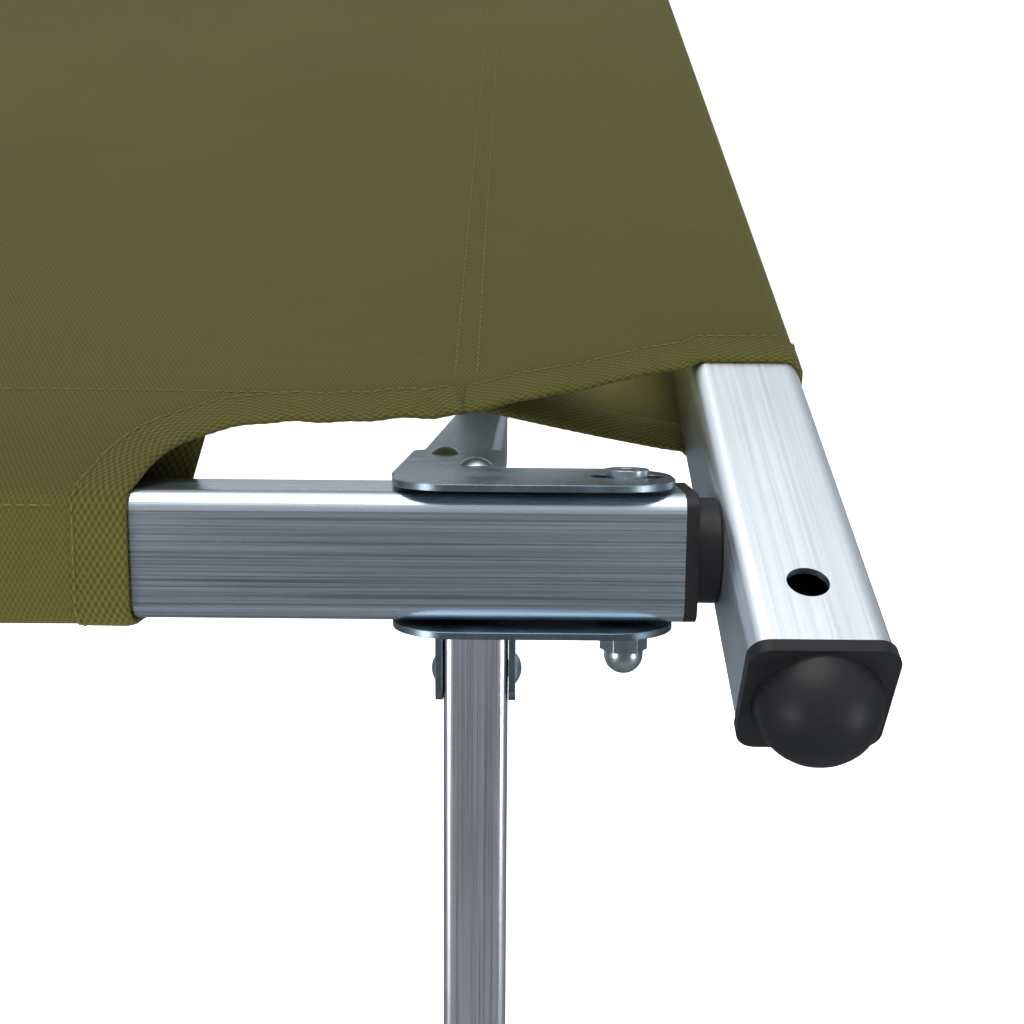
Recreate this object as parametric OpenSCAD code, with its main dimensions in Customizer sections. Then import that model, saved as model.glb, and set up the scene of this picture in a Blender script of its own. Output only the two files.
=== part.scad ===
// Folding cot: two side rails on three V-shaped cross frames with six folding legs, an end bar
// across each end, and one fabric bed that is sleeved over the rails and the end bars.
// Frame: +X towards the head, -Y is the near side, +Z up, origin on the floor under the middle.

/* [Bed] */
// Length over the two end bars
bed_l = 1900; // [1700:10:2100]
// Distance from the middle of the bed to each rail's centre line
rail_y = 325; // [300:5:380]
// Height of the rails' centre lines above the floor
rail_z = 355; // [330:5:420]
// Roll of the rails and slope of the arms, in degrees
roll = 30; // [25:1:32]

/* [Rails and end bars] */
// Outside width of the square rail and end bar tube
tube_w = 30; // [28:1:32]
// Wall of the square tube
tube_t = 1.6; // [1.2:0.1:2]
// Outside corner radius of the square tube
tube_r = 4.5; // [3.5:0.1:5]
// Outside height of an end bar
bar_h = 28; // [27:0.5:30]
// Length of an end bar tube beyond the rail's centre line
bar_overhang = 45; // [42:1:50]
// Distance from an end bar tube's end to its pole hole
pole_hole_inset = 18; // [16:1:20]
// Radius of the pole holes
pole_hole_r = 4.6; // [4:0.1:5]

/* [Brackets] */
// Thickness of every bracket plate
plate_t = 1.6; // [1.4:0.1:2]
// Thickness of the washers that hold the plates clear of the rail
spacer_t = 1; // [0.8:0.1:1.2]
// Distance from an end bar's inner face to the end brackets' arm
end_arm_inset = 65; // [63:0.5:70]
// Position of the middle frame's arm along the bed
mid_arm_x = -75; // [-90:1:-70]
// Radius of the pivot bolts and the hub pins
bolt_r = 3; // [2.5:0.5:3.5]
// Radius of the pivot bolts' round heads
head_r = 5.2; // [4.8:0.1:5.6]

/* [Arms and hub] */
// Width of an arm along the bed
arm_w = 25; // [23:1:26]
// Height of the hub pivot above the arm's centre line
hub_r = 23; // [22.8:0.1:25]

/* [Legs] */
// Width of a leg along the bed
leg_w = 18; // [16:1:20]
// Depth of a leg across the bed
leg_d = 25; // [22:1:28]
// Distance along the arm from the rail's centre to the leg pin
leg_pin_c = 52; // [50:1:56]
// Distance from the arm's centre line down to the leg pin
leg_pin_r = 44; // [42:1:46]
// Length of a foot cap along its outer side
foot_l = 40; // [34:1:50]

/* [Fabric] */
// Thickness of the plain fabric solids
cloth_t = 2; // [1:0.5:3]
// Position along the bed of the side sleeves' mouths
side_mouth_x = 784; // [760:1:800]
// Distance from the middle of the bed to the end sleeves' mouths
end_mouth_y = 263; // [250:1:276]

/* [Hidden] */
$fn = 48;

// Colours
aluminium = [0.76, 0.79, 0.82];
steel = [0.55, 0.62, 0.66];
black = [0.08, 0.08, 0.09];
olive = [0.36, 0.35, 0.19];

// Clearances: between fixed pieces, round a turning pin, and beside a moving face
fixed_gap = 0.1;
pin_gap = 0.05;
side_gap = 0.2;
// Extra length of a cutting shape beyond the face that it cuts
cut = 1;

// Rails: each is two tubes that meet at the middle of the bed
half_w = tube_w / 2;
bar_in = bed_l / 2 - tube_w;         // inner face of an end bar
rail_end = bar_in - 9;               // outer end of a rail tube
rail_gap = 0.5;                      // half the gap between a rail's two tubes
flange_t = 3;                        // flange of the plug in a rail's end
boss_r = 12.6;
stud_r = 4;
stud_l = 8;
plug_l = 6;

// Brackets: one at each end and one beside the rail's middle joint. A bracket's own X starts
// at the arm's centre and points to the pivot bolt.
end_arm_x = bar_in - end_arm_inset;
bracket_back = 11.6;                 // plate beyond the arm's centre, away from the bolt
bracket_front = 54.6;                // plate beyond the arm's centre, past the bolt
bolt_dx = 43.7;
leg_dx = 6.5;
plate_z = half_w + spacer_t;         // inner face of each plate
plate_out = -19;                     // outer edge of a plate, just proud of the rail
plate_in = 18;                       // inner edge of the plate along the rail
tab_in = 68;                         // inner edge of the plate over the arm
tab_start = 0;                       // the tab's square end is hidden in the strip
tab_x = [-12.5, 14.5];
plate_corner = 15;
tab_corner = 4;
slot_l = 17.5;
slot_w = 8;
rivets = [[6.9, 25], [-2.8, 57]];    // rivets through both plates and the arm
rivet_r = 2.5;
dome_r = 4.4;
dome_h = 2;
bolt_head_h = 1.8;
socket_r = 2.5;
socket_depth = 1.6;
washer_r = 6.2;
washer_t = 1;
nut_h = 5.7;                         // height of the nut's hexagon
nut_l = 11.7;                        // height of the nut with its round cap
nut_r = 5.77;
nut_dome_r = 4.75;

// Arms and hub: the two sides' hub pivots meet in the middle of the bed
hub_c = (rail_y - hub_r * sin(roll)) / cos(roll);
arm_t = 1.5;
arm_start = half_w + 2;
arm_end = hub_c - 2.6;
hub_eye_r = 7;
hub_plate_start = arm_end - 40;
hub_pad_end = arm_end - 16;
hub_strip = 11;                      // half height of a hub plate on its arm
hub_neck_gap = 0.2;                  // between an arm's end and the near plates' necks
pin_head_h = 2;
pin_head_r = 5;

// Legs: an ear each side, a pin, and a top end whose inner corner is rounded about the pin
leg_t = 1.4;
ear_gap = 0.2;
ear_t = 2;
ear_x = leg_w / 2 + ear_gap;
ear_c = [leg_pin_c - 12, leg_pin_c + 12];
ear_bottom = leg_pin_r + 7;
base_c = [leg_pin_c - 15, leg_pin_c + 15];
base_x = [-11.5, leg_dx + ear_x + ear_t];
base_bottom = plate_z + plate_t + ear_t;  // underside of the clevis's base
leg_top = base_bottom + 0.3;
leg_pin_radius = 2.5;
leg_pin_head_r = 4.5;
leg_pin_head_h = 1.8;
pin_z = rail_z - leg_pin_c * sin(roll) - leg_pin_r * cos(roll);
leg_l = pin_z / cos(roll);           // from the pin to the floor along the leg
sole_t = 9;                          // cap below the leg tube, on the leg's centre line
cap_wall = 2;

// End bars
bar_x = bar_in + half_w;
bar_y = rail_y + bar_overhang;
notch_w = 2 * stud_r + 2;
notch_lean = 18.3;                   // the stud's way out of the bar as the cot folds
notch_in = 10;
cap_t = 3.3;
cap_lip = 0.5;                       // the cap's flange stands this far beyond the tube
cap_corner = 4.5;
dome_cap_r = 13.6;
bar_gap = 0.3;                       // between a boss and the end bar

// Fabric: the panel lies over the end sleeves and starts inside the side sleeves
cloth_gap = 0.1;
panel_z = rail_z + half_w + cloth_t + side_gap + 0.2;
panel_y = rail_y - 5;
mid_mouths = [-145, 60];             // the side sleeves stop here, at the rail's middle joint
mid_cut_y = 292;

// Places its children in the frame of one side: Y runs down along the arm, Z up from the rail
module near() { translate([0, -rail_y, rail_z]) rotate([-roll, 0, 0]) children(); }
module far() { mirror([0, 1, 0]) near() children(); }
// Turns a piece made for the head end round to the foot end
module at_foot() { mirror([1, 0, 0]) children(); }
module at_head_bracket() { translate([end_arm_x, 0, 0]) children(); }
module at_mid_bracket() { translate([mid_arm_x, 0, 0]) mirror([1, 0, 0]) children(); }
module at_brackets() {
    at_head_bracket() children();
    at_mid_bracket() children();
    at_foot() at_head_bracket() children();
}

// A rectangle about the origin with true round corners
module rounded(w, h, r) {
    square([w - 2 * r, h], center = true);
    square([w, h - 2 * r], center = true);
    for (x = [-1, 1], y = [-1, 1]) translate([x * (w / 2 - r), y * (h / 2 - r)]) circle(r);
}

// A tube along +X from x0 to x1, w wide in Y and h high in Z
module tube_x(x0, x1, w, h, r, t) {
    translate([x0, 0, 0]) rotate([90, 0, 90]) linear_extrude(x1 - x0) difference() {
        rounded(w, h, r);
        rounded(w - 2 * t, h - 2 * t, r - t);
    }
}
module bore_z(r, z0, z1) { translate([0, 0, z0]) cylinder(r = r, h = z1 - z0); }
module pin_x(r, half) { rotate([0, 90, 0]) cylinder(r = r, h = 2 * half, center = true); }

// The point where a line from p touches a circle, on its left (+1) or right (-1) side
function tangent(p, centre, r, side) =
    let (v = centre - p, d = norm(v), a = atan2(v[1], v[0]) + side * asin(r / d))
    p + sqrt(d * d - r * r) * [cos(a), sin(a)];

// Rail, head half, with the pivot bolt's hole and, where it carries it, the middle bracket's
module rail(with_mid_bolt) {
    color(aluminium) difference() {
        tube_x(rail_gap, rail_end, tube_w, tube_w, tube_r, tube_t);
        at_head_bracket() translate([bolt_dx, 0, 0]) bolt_hole();
        if (with_mid_bolt) at_foot() at_mid_bracket() translate([bolt_dx, 0, 0]) bolt_hole();
        for (x = hinge_pin_x) translate([x, 0, 0]) bore_z(rivet_r + fixed_gap, 0, tube_w);
    }
}
module bolt_hole() { bore_z(bolt_r + fixed_gap, -tube_w, tube_w); }

// Middle joint of a rail: a strap on top, held by two rivets
hinge_l = 44;
hinge_pin_x = [10, 32];
module hinge_plates() {
    color(steel) difference() {
        translate([0, 0, half_w]) linear_extrude(plate_t) rounded(2 * hinge_l, tube_w - 4, 6);
        for (s = [-1, 1], x = hinge_pin_x) translate([s * x, 0, 0]) bore_z(rivet_r + fixed_gap, 0, tube_w);
    }
}
module hinge_pins() {
    color(steel) for (s = [-1, 1], x = hinge_pin_x) translate([s * x, 0, 0]) {
        bore_z(rivet_r, half_w - tube_t, half_w + plate_t);
        translate([0, 0, half_w + plate_t]) dome(dome_r, dome_h);
    }
}

// A shallow round head that stands on z = 0
module dome(r, h) {
    ball = (r * r + h * h) / (2 * h);
    rotate_extrude() intersection() {
        translate([0, h - ball]) circle(ball, $fn = 96);
        square([r, h]);
    }
}

// Plug in a rail's end: a short plug, a flange, and a round boss with the end bar's stud
module knob() {
    plug_w = tube_w - 2 * tube_t - 2 * fixed_gap;
    color(black) {
        translate([rail_end - plug_l, 0, 0]) rotate([90, 0, 90]) linear_extrude(plug_l + cut)
            rounded(plug_w, plug_w, 2.5);
        translate([rail_end, 0, 0]) rotate([90, 0, 90]) linear_extrude(flange_t)
            rounded(tube_w, tube_w, tube_r);
        translate([rail_end, 0, 0]) rotate([0, 90, 0]) cylinder(r = boss_r, h = bar_in - rail_end - bar_gap);
        translate([rail_end, 0, 0]) rotate([0, 90, 0]) cylinder(r = stud_r, h = bar_in - rail_end + stud_l);
    }
}

// Bracket plate: a long strip along the rail with a tab over the arm
module plate_outline() {
    strip_l = bracket_front + bracket_back;
    strip_w = plate_in - plate_out;
    tab_w = tab_x[1] - tab_x[0];
    tab_l = tab_in - tab_start;
    translate([bracket_front - strip_l / 2, (plate_in + plate_out) / 2])
        rounded(strip_l, strip_w, plate_corner);
    translate([(tab_x[0] + tab_x[1]) / 2, (tab_in + tab_start) / 2])
        rounded(tab_w, tab_l, tab_corner);
}
module rivet_holes(z0, z1) {
    for (p = rivets) translate([p[0], p[1], 0]) bore_z(rivet_r + fixed_gap, z0, z1);
}
module top_plate() {
    difference() {
        translate([0, 0, plate_z]) linear_extrude(plate_t) difference() {
            plate_outline();
            translate([bolt_dx, 0]) {
                for (s = [-1, 1]) translate([s * (slot_l - slot_w) / 2, 0]) circle(slot_w / 2);
                square([slot_l - slot_w, slot_w], center = true);
            }
        }
        rivet_holes(plate_z - cut, plate_z + plate_t + cut);
    }
}
module bottom_plate() {
    difference() {
        translate([0, 0, -plate_z - plate_t]) linear_extrude(plate_t) plate_outline();
        translate([bolt_dx, 0, 0]) bolt_hole();
        rivet_holes(-plate_z - plate_t - cut, -plate_z + cut);
    }
}
module top_plates() { color(steel) at_brackets() top_plate(); }
module bottom_plates() { color(steel) at_brackets() bottom_plate(); }

// Pivot bolt: round socket head on top of the plate, shank down through the rail
module pivot_bolt() {
    z_head = plate_z + plate_t;
    difference() {
        union() {
            bore_z(bolt_r, -plate_z - plate_t - nut_h + cut, z_head + cut);
            bore_z(head_r, z_head, z_head + bolt_head_h);
        }
        translate([0, 0, z_head + bolt_head_h - socket_depth])
            cylinder(r = socket_r, h = 2 * socket_depth, $fn = 6);
    }
}
module pivot_bolts() { color(steel) at_brackets() translate([bolt_dx, 0, 0]) pivot_bolt(); }

// Washers between the rail and the two plates, round the pivot bolt
module spacers() {
    color(black) at_brackets() translate([bolt_dx, 0, 0]) difference() {
        for (z = [-plate_z, half_w]) bore_z(washer_r, z, z + spacer_t);
        bolt_hole();
    }
}

// Acorn nut under the bottom plate, with a washer and a round cap
module acorn_nut() {
    seat = -plate_z - plate_t;
    dome_z = seat - washer_t - nut_l + nut_dome_r;
    difference() {
        union() {
            bore_z(washer_r, seat - washer_t, seat);
            translate([0, 0, seat - washer_t - nut_h]) cylinder(r = nut_r, h = nut_h, $fn = 6);
            bore_z(nut_dome_r, dome_z, seat - washer_t);
            translate([0, 0, dome_z]) sphere(nut_dome_r);
        }
        bore_z(bolt_r + fixed_gap, seat - nut_h, seat + cut);
    }
}
module acorn_nuts() { color(steel) at_brackets() translate([bolt_dx, 0, 0]) acorn_nut(); }

// Rivets through both plates and the arm, with round heads above and below
module plate_rivets() {
    color(steel) at_brackets() for (p = rivets) translate([p[0], p[1], 0]) {
        low = p[1] > base_c[0] - dome_r ? base_bottom : plate_z + plate_t;
        bore_z(rivet_r, -low, plate_z + plate_t);
        translate([0, 0, plate_z + plate_t]) dome(dome_r, dome_h);
        if (low < base_bottom) translate([0, 0, -low]) mirror([0, 0, 1]) dome(dome_r, dome_h);
    }
}

// Arm: rectangular tube from the rail down to the hub
module arm() {
    color(aluminium) difference() {
        translate([0, arm_start, 0]) rotate([0, 0, 90])
            tube_x(0, arm_end - arm_start, arm_w, 2 * plate_z, 3, arm_t);
        rivet_holes(-tube_w, tube_w);
    }
}

// Clevis: a base under the bottom plate and an ear each side of the leg
module clevis() {
    difference() {
        union() {
            translate([base_x[0], base_c[0], -base_bottom])
                cube([base_x[1] - base_x[0], base_c[1] - base_c[0], ear_t]);
            for (s = [0, 1]) translate([leg_dx, 0, 0]) mirror([s, 0, 0]) translate([ear_x, 0, 0]) ear();
        }
        rivet_holes(-base_bottom - cut, -plate_z);
        translate([leg_dx, leg_pin_c, -leg_pin_r]) pin_x(leg_pin_radius + fixed_gap, leg_w);
    }
}
module ear() {
    corner = 4;
    rotate([90, 0, 90]) linear_extrude(ear_t) {
        translate([ear_c[0], corner - ear_bottom])
            square([ear_c[1] - ear_c[0], ear_bottom - corner - base_bottom + ear_t]);
        translate([ear_c[0] + corner, -ear_bottom]) square([ear_c[1] - ear_c[0] - 2 * corner, corner]);
        for (c = [ear_c[0] + corner, ear_c[1] - corner]) translate([c, corner - ear_bottom]) circle(corner);
    }
}
module clevises() { color(steel) at_brackets() clevis(); }

// Leg pin: a rivet across the clevis with a round head each side
module leg_pins() {
    half = ear_x + ear_t;
    color(steel) at_brackets() translate([leg_dx, leg_pin_c, -leg_pin_r]) {
        pin_x(leg_pin_radius, half);
        for (s = [-1, 1]) translate([s * half, 0, 0]) rotate([0, s * 90, 0]) dome(leg_pin_head_r, leg_pin_head_h);
    }
}

// Leg: a tube below its pin, with a square outer top corner that stops it against the base
module leg() {
    tube_end = leg_l + leg_pin_r - sole_t;
    round_r = leg_pin_r - leg_top;
    color(aluminium) translate([leg_dx, leg_pin_c, 0]) difference() {
        translate([0, 0, -tube_end]) rotate([0, -90, 0]) tube_x(0, tube_end - leg_top, leg_d, leg_w, 3, leg_t);
        translate([0, 0, -leg_pin_r]) pin_x(leg_pin_radius + pin_gap, leg_w);
        translate([0, 0, -leg_pin_r]) difference() {
            translate([-leg_w, 0, 0]) cube([2 * leg_w, leg_d, round_r + cut]);
            pin_x(round_r, 2 * leg_w);
        }
    }
}

// Foot cap: a cup over the leg's end, cut level with the floor
module foot_cap() {
    tube_end = leg_l + leg_pin_r - sole_t;
    outer = 2 * (fixed_gap + cap_wall);
    color(black) translate([leg_dx, leg_pin_c, 0]) difference() {
        translate([0, 0, -tube_end - foot_l]) linear_extrude(2 * foot_l - 10)
            rounded(leg_w + outer, leg_d + outer, 4);
        translate([0, 0, -tube_end]) linear_extrude(foot_l)
            rounded(leg_w + 2 * fixed_gap, leg_d + 2 * fixed_gap, 3);
    }
}
// Keeps what stands above the floor
module above_floor() {
    difference() {
        children();
        translate([-bed_l, -bed_l, -bed_l]) cube([2 * bed_l, 2 * bed_l, bed_l]);
    }
}

// Hub plates: strips with an eye round the hub pivot. The near arms hold theirs inside the tube,
// and the far arms hold theirs outside, on a thin pad.
module hub_plate_outline(top) {
    eye = [hub_c, hub_r];
    bottom = [arm_end - 4, -hub_strip];
    polygon(concat(
        [[hub_plate_start, -hub_strip], [hub_plate_start, hub_strip]], top,
        [eye, tangent(bottom, eye, hub_eye_r, -1), bottom]
    ));
    translate(eye) circle(hub_eye_r);
}
module hub_plate(x0, top) {
    difference() {
        rotate([90, 0, 90]) translate([0, 0, x0]) linear_extrude(plate_t) hub_plate_outline(top);
        translate([0, hub_c, hub_r]) pin_x(bolt_r + pin_gap, arm_w);
    }
}
module near_hub_plates() {
    neck = arm_end + hub_neck_gap;
    top = [[neck, hub_strip], [neck, hub_r]];
    color(steel) at_brackets() for (s = [0, 1]) mirror([s, 0, 0])
        hub_plate(arm_w / 2 - arm_t - plate_t, top);
}
module far_hub_plates() {
    corner = [arm_end - 24, hub_strip];
    top = [corner, tangent(corner, [hub_c, hub_r], hub_eye_r, 1)];
    color(steel) at_brackets() for (s = [0, 1]) mirror([s, 0, 0]) {
        hub_plate(arm_w / 2 + side_gap, top);
        translate([arm_w / 2, hub_plate_start, -hub_strip])
            cube([side_gap + fixed_gap, hub_pad_end - hub_plate_start, 2 * hub_strip]);
    }
}
module hub_pins() {
    half = arm_w / 2 + plate_t + 2 * side_gap;
    color(steel) at_brackets() translate([0, hub_c, hub_r]) {
        pin_x(bolt_r, half);
        for (s = [-1, 1]) translate([s * half, 0, 0]) rotate([0, s * 90, 0])
            cylinder(r = pin_head_r, h = pin_head_h);
    }
}

// End bar: level tube with a closed stud hole on the near side, a notch on the far side that
// the far stud lifts out of, and an upright pole hole at each end
module end_bar() {
    color(aluminium) difference() {
        translate([bar_x, -bar_y, rail_z]) rotate([0, 0, 90])
            tube_x(0, 2 * bar_y, tube_w, bar_h, tube_r, tube_t);
        translate([bar_in - cut, -rail_y, rail_z]) rotate([0, 90, 0])
            cylinder(r = stud_r + pin_gap + 0.05, h = half_w);
        translate([bar_in - cut, rail_y, rail_z]) rotate([notch_lean, 0, 0]) {
            rotate([0, 90, 0]) cylinder(r = notch_w / 2, h = notch_in + cut);
            translate([0, -notch_w / 2, 0]) cube([notch_in + cut, notch_w, tube_w]);
        }
        for (s = [-1, 1]) translate([bar_x, s * (bar_y - pole_hole_inset), rail_z])
            bore_z(pole_hole_r, -tube_w, tube_w);
    }
}

// End caps: a plug in the end bar, a rounded flange and a half-round knob
module end_caps() {
    inset = 2 * (tube_t + fixed_gap);
    color(black) for (s = [0, 1]) mirror([0, s, 0]) translate([bar_x, -bar_y, rail_z]) {
        rotate([90, 0, 0]) translate([0, 0, -9]) linear_extrude(9 + cut)
            rounded(tube_w - inset, bar_h - inset, 2.5);
        rotate([90, 0, 0]) linear_extrude(cap_t)
            rounded(tube_w + 2 * cap_lip, bar_h + 2 * cap_lip, cap_corner);
        translate([0, -cap_t, 0]) rotate([90, 0, 0]) rotate_extrude() intersection() {
            circle(dome_cap_r, $fn = 96);
            square(dome_cap_r);
        }
    }
}

// Side sleeves: fabric tubes round a rail, open at the corner and at the rail's middle joint
module side_sleeves() {
    w = tube_w + 2 * (cloth_t + cloth_gap);
    color(olive) {
        tube_x(mid_mouths[1], side_mouth_x, w, w, tube_r + cloth_t, cloth_t);
        tube_x(-side_mouth_x, mid_mouths[0], w, w, tube_r + cloth_t, cloth_t);
    }
}
module end_sleeve() {
    extra = 2 * (cloth_t + cloth_gap);
    color(olive) translate([bar_x, -end_mouth_y, rail_z]) rotate([0, 0, 90])
        tube_x(0, 2 * end_mouth_y, tube_w + extra, bar_h + extra, tube_r + cloth_t, cloth_t);
}

// Bed panel: a flat sheet with a scalloped cut-out at each corner and at each rail's middle joint
// Each point: distance past the side sleeve's mouth, and distance in from the panel's edge
corner_cut = [[2, 0], [6, 8], [12, 14], [28, 19.5], [55, 22], [84, 25.5], [100, 32], [115, 39.5]];
module bed_panel() {
    edge = [for (p = corner_cut) [side_mouth_x + p[0], panel_y - p[1]]];
    end_x = bar_x + half_w;
    color(olive) translate([0, 0, panel_z]) linear_extrude(cloth_t) difference() {
        square([2 * end_x, 2 * panel_y], center = true);
        for (x = [0, 1], y = [0, 1]) mirror([x, 0]) mirror([0, y]) polygon(concat(
            [[side_mouth_x + 2, panel_y + cut]], edge,
            [[bar_in, end_mouth_y + 3], [end_x + cut, end_mouth_y], [end_x + cut, panel_y + cut]]
        ));
        for (s = [-1, 1]) translate([mid_mouths[0], s < 0 ? -panel_y - cut : mid_cut_y])
            square([mid_mouths[1] - mid_mouths[0], panel_y - mid_cut_y + cut]);
    }
}

near() rail(false);  // near_rail_head
near() at_foot() rail(true);  // near_rail_foot
near() hinge_plates();  // near_rail_hinge_plates
near() hinge_pins();  // near_rail_hinge_pins
near() knob();  // near_knob_head
near() at_foot() knob();  // near_knob_foot
near() top_plates();  // near_top_plates
near() bottom_plates();  // near_bottom_plates
near() pivot_bolts();  // near_pivot_bolts
near() spacers();  // near_spacers
near() acorn_nuts();  // near_acorn_nuts
near() plate_rivets();  // near_plate_rivets
near() at_head_bracket() arm();  // near_arm_head
near() at_mid_bracket() arm();  // near_arm_mid
near() at_foot() at_head_bracket() arm();  // near_arm_foot
near() clevises();  // near_clevises
near() leg_pins();  // near_leg_pins
near() side_sleeves();  // near_side_sleeves
near() near_hub_plates();
near() hub_pins();
near() at_head_bracket() leg();  // near_leg_head
near() at_mid_bracket() leg();  // near_leg_mid
near() at_foot() at_head_bracket() leg();  // near_leg_foot
above_floor() near() at_head_bracket() foot_cap();  // near_foot_cap_head
above_floor() near() at_mid_bracket() foot_cap();  // near_foot_cap_mid
above_floor() near() at_foot() at_head_bracket() foot_cap();  // near_foot_cap_foot
far() rail(false);  // far_rail_head
far() at_foot() rail(true);  // far_rail_foot
far() hinge_plates();  // far_rail_hinge_plates
far() hinge_pins();  // far_rail_hinge_pins
far() knob();  // far_knob_head
far() at_foot() knob();  // far_knob_foot
far() top_plates();  // far_top_plates
far() bottom_plates();  // far_bottom_plates
far() pivot_bolts();  // far_pivot_bolts
far() spacers();  // far_spacers
far() acorn_nuts();  // far_acorn_nuts
far() plate_rivets();  // far_plate_rivets
far() at_head_bracket() arm();  // far_arm_head
far() at_mid_bracket() arm();  // far_arm_mid
far() at_foot() at_head_bracket() arm();  // far_arm_foot
far() clevises();  // far_clevises
far() leg_pins();  // far_leg_pins
far() side_sleeves();  // far_side_sleeves
far() far_hub_plates();
far() at_head_bracket() leg();  // far_leg_head
far() at_mid_bracket() leg();  // far_leg_mid
far() at_foot() at_head_bracket() leg();  // far_leg_foot
above_floor() far() at_head_bracket() foot_cap();  // far_foot_cap_head
above_floor() far() at_mid_bracket() foot_cap();  // far_foot_cap_mid
above_floor() far() at_foot() at_head_bracket() foot_cap();  // far_foot_cap_foot
end_bar();  // end_bar_head
end_caps();  // end_caps_head
at_foot() end_bar();  // end_bar_foot
at_foot() end_caps();  // end_caps_foot
bed_panel();
end_sleeve();  // head_sleeve
at_foot() end_sleeve();  // foot_sleeve
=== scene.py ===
"""Looks of the folding cot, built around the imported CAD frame.

Lengths are written in millimetres and turned into metres by MM. The near side's own axes are x
along the bed, c down along the arms and r up from the rail, both tilted with the rail.
"""
import math

import bmesh
import bpy
from mathutils import Matrix, Vector

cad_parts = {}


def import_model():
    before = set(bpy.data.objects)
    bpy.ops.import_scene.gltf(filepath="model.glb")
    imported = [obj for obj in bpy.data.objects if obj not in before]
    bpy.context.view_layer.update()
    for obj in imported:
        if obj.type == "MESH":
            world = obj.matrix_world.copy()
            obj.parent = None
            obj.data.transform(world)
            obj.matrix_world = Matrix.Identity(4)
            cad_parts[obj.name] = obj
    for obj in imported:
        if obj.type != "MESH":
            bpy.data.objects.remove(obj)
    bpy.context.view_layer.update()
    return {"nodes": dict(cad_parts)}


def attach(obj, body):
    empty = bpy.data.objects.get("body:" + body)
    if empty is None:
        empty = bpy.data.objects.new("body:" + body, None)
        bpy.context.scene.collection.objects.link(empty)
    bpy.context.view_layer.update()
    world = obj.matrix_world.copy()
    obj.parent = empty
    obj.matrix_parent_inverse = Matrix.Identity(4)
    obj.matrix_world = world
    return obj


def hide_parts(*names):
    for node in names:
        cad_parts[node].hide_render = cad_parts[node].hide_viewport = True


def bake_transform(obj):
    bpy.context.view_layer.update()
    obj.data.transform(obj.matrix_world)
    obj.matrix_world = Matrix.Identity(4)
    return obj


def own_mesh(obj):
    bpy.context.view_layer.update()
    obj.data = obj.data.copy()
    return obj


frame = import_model()

MM = 0.001
X, Y, Z = Vector((1, 0, 0)), Vector((0, 1, 0)), Vector((0, 0, 1))

# Sizes of the CAD frame, mm
RAIL_Y, RAIL_Z, ROLL = 325.0, 355.0, math.radians(30)    # the rails' centre lines, and their roll
COS, SIN = math.cos(ROLL), math.sin(ROLL)
HALF_TUBE, TUBE_R = 15.0, 4.5
BAR_IN, BAR_OUT, BAR_HALF_H = 920.0, 950.0, 14.0

# Where the sleeves stop: x of the side sleeves' mouths, and for the end sleeves the distance inside
# the rail's centre line at the bar's top, with how much nearer to the rail it is at the bar's bottom
SIDE_MOUTH, MID_MOUTHS = 784.0, (-145.0, 60.0)
MID_GAP = MID_MOUTHS[1] - MID_MOUTHS[0]
END_MOUTH_H, END_MOUTH_LEAN = 64.2, 5.4

# Fabric, mm
CLOTH_T = 0.8               # thickness of the cloth
CLEAR = 0.7                 # from a tube's face to the middle of the cloth
SEAM_H = 39.5               # side seam, inside the rail's centre line
END_SEAM_X = 859.0          # end seam
TAPE_W = 12.5
SAG = 7.0                   # in the middle of the bed
CORNER = HALF_TUBE - TUBE_R
CREST = CORNER * (SIN + COS) + TUBE_R + CLEAR   # cloth over the rail's top
CREST_H = -CORNER * (COS - SIN)                 # and how far inside the rail that is
BAR_TOP = BAR_HALF_H + CLEAR


def world(x, c, r, side):
    """A point in the near side's axes, or mirrored to the far side, in metres."""
    y = -RAIL_Y + c * COS + r * SIN
    z = RAIL_Z - c * SIN + r * COS
    return Vector((x, y if side < 0 else -y, z)) * MM


def clamp(v, low=0.0, high=1.0):
    return max(low, min(high, v))


def smooth(v):
    v = clamp(v)
    return v * v * (3 - 2 * v)


def interpolate(points, v):
    """The value at v on a line through (v, value) points."""
    for (v0, a), (v1, b) in zip(points, points[1:]):
        if v <= v1:
            return a + (b - a) * clamp((v - v0) / (v1 - v0))
    return points[-1][1]


# ---------------------------------------------------------------- materials

def new_material(name):
    m = bpy.data.materials.new(name)
    m.use_nodes = True
    t = m.node_tree
    return m, t, t.nodes["Principled BSDF"]


def node(tree, kind, **values):
    n = tree.nodes.new(kind)
    for key, v in values.items():
        if hasattr(n, key):
            setattr(n, key, v)
        else:
            n.inputs[key.replace("_", " ").title()].default_value = v
    return n


def math_node(tree, op, a, b=None):
    n = tree.nodes.new("ShaderNodeMath")
    n.operation = op
    for i, v in enumerate((a, b)):
        if isinstance(v, (int, float)):
            n.inputs[i].default_value = v
        elif v is not None:
            tree.links.new(v, n.inputs[i])
    return n.outputs[0]


def position(tree):
    """Position in metres, fixed to the piece."""
    return tree.nodes.new("ShaderNodeTexCoord").outputs["Object"]


def dot(tree, vector, axis):
    n = tree.nodes.new("ShaderNodeVectorMath")
    n.operation = "DOT_PRODUCT"
    tree.links.new(vector, n.inputs[0])
    n.inputs[1].default_value = axis
    return n.outputs["Value"]


def combine(tree, a, b, c):
    n = tree.nodes.new("ShaderNodeCombineXYZ")
    for i, v in enumerate((a, b, c)):
        if isinstance(v, (int, float)):
            n.inputs[i].default_value = v
        else:
            tree.links.new(v, n.inputs[i])
    return n.outputs[0]


def noise(tree, vector, scale, detail=3.0, roughness=0.5):
    n = node(tree, "ShaderNodeTexNoise", scale=scale, detail=detail, roughness=roughness)
    tree.links.new(vector, n.inputs["Vector"])
    return n.outputs["Fac"]


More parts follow.
